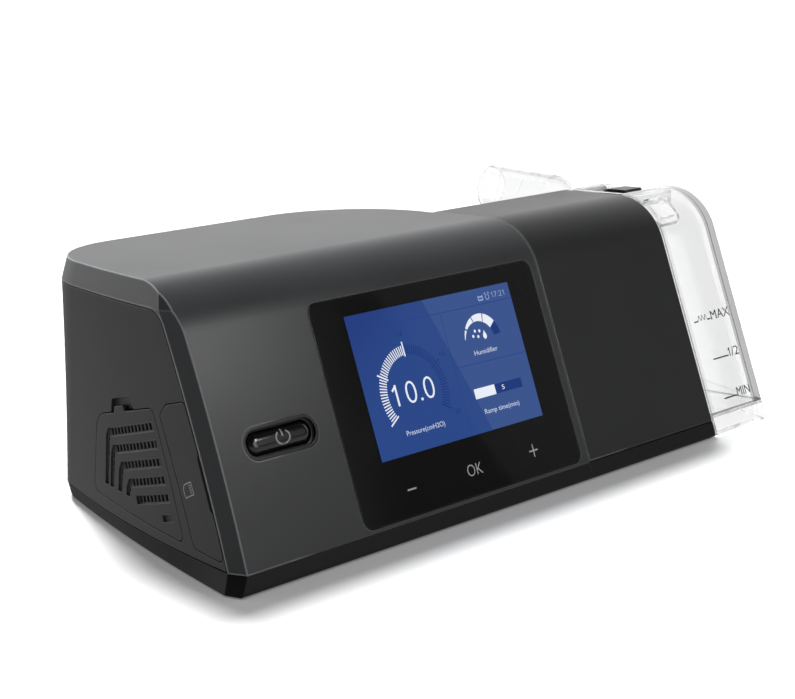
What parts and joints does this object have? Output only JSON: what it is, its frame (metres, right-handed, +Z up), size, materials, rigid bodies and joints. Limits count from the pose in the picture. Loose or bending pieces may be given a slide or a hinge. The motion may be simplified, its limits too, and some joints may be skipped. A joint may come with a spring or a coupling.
{
  "type": "cpap machine",
  "caption": "Bedside positive-airway-pressure machine with a colour display, air filter door and a sliding water tank with a swivelling hose outlet.",
  "frame": {"origin": "centre of the bounding box in plan, on the table plane under the rubber feet", "axes": "+X from the filter end to the water tank end, +Y from the display to the back, +Z up"},
  "size_m": [0.3256, 0.1664, 0.1129],
  "materials": {
    "housing_grey": "fine satin texture",
    "tray_black": "matte",
    "glass_black": "polished",
    "lcd": "screen",
    "board_green": "lacquered",
    "bezel_black": "semi-gloss",
    "button_gloss": "polished",
    "filter_white": "fibrous",
    "case_plastic": "matte",
    "chip_black": "matte",
    "steel": "bright",
    "motor_metal": "satin",
    "silicone": "satin",
    "seal_black": "matte",
    "foam_grey": "open foam",
    "humidifier_black": "satin",
    "heater_metal": "fine brushed",
    "clear_tank": "clear",
    "lid_smoke": "clear",
    "latch_black": "satin"
  },
  "bodies": {
    "main": {"front_top_cover": "housing_grey", "rear_side_housing": "housing_grey", "base_tray": "tray_black", "display_glass": "glass_black", "lcd_module": "lcd", "display_board": "board_green", "button_bezel": "bezel_black", "button_board": "board_green", "inlet_filter": "filter_white", "card_socket": "case_plastic", "main_board": "board_green", "board_components": "chip_black", "board_screws": "steel", "power_inlet": "chip_black", "blower_lower_case": "case_plastic", "blower_upper_case": "case_plastic", "blower_motor": "motor_metal", "blower_mounts": "silicone", "outlet_duct": "seal_black", "port_seal": "silicone", "inlet_muffler": "foam_grey", "humidifier_housing": "humidifier_black", "humidifier_base": "tray_black", "heater_plate": "heater_metal", "heater_insulator": "case_plastic", "rubber_feet": "seal_black", "base_screws": "steel"},
    "button": {"power_button": "button_gloss"},
    "filter_door": {"filter_cover": "housing_grey"},
    "card_flap": {"card_door": "housing_grey"},
    "rotor": {"impeller": "case_plastic", "motor_shaft": "steel"},
    "tank": {"tank_body": "clear_tank", "tank_floor": "clear_tank", "tank_plate": "heater_metal", "tank_seal": "silicone", "tank_skirt": "clear_tank", "lid_hinge_pin": "steel"},
    "lid": {"fill_lid": "lid_smoke", "lid_seal": "silicone"},
    "latch": {"lid_latch": "latch_black"},
    "elbow": {"outlet_elbow": "clear_tank", "elbow_seal": "silicone"}
  },
  "joints": [
    {"name": "power_button_press", "type": "slide", "parent": "main", "child": "button", "axis": [0, 0.9455, -0.3256], "range_m": [0, 0.0012], "stiffness_N_per_m": 1200, "springref_m": -0.0006},
    {"name": "filter_cover_hinge", "type": "hinge", "parent": "main", "child": "filter_door", "pos_m": [-0.14653, -0.00667, 0.0122], "axis": [-0.2386, -0.9707, -0.028], "range_deg": [0, 60]},
    {"name": "card_door_hinge", "type": "hinge", "parent": "main", "child": "card_flap", "pos_m": [-0.1561, -0.04322, 0.03529], "axis": [-0.0053, -0.3525, -0.9358], "range_deg": [0, 95]},
    {"name": "impeller_spin", "type": "hinge", "parent": "main", "child": "rotor", "pos_m": [-0.0445, 0.01424, 0.04], "axis": [0, 0, 1], "continuous": true},
    {"name": "tank_slide", "type": "slide", "parent": "main", "child": "tank", "axis": [1, 0, 0], "range_m": [0, 0.095]},
    {"name": "fill_lid_hinge", "type": "hinge", "parent": "tank", "child": "lid", "pos_m": [0.13875, 0.00124, 0.1032], "axis": [-1, 0, 0], "range_deg": [0, 85]},
    {"name": "lid_latch_slide", "type": "slide", "parent": "lid", "child": "latch", "axis": [0, 1, 0], "range_m": [0, 0.002], "stiffness_N_per_m": 600, "springref_m": -0.001},
    {"name": "outlet_swivel", "type": "hinge", "parent": "tank", "child": "elbow", "pos_m": [0.1315, 0.01824, 0.099], "axis": [0, 0, 1], "range_deg": [-80, 90]}
  ]
}
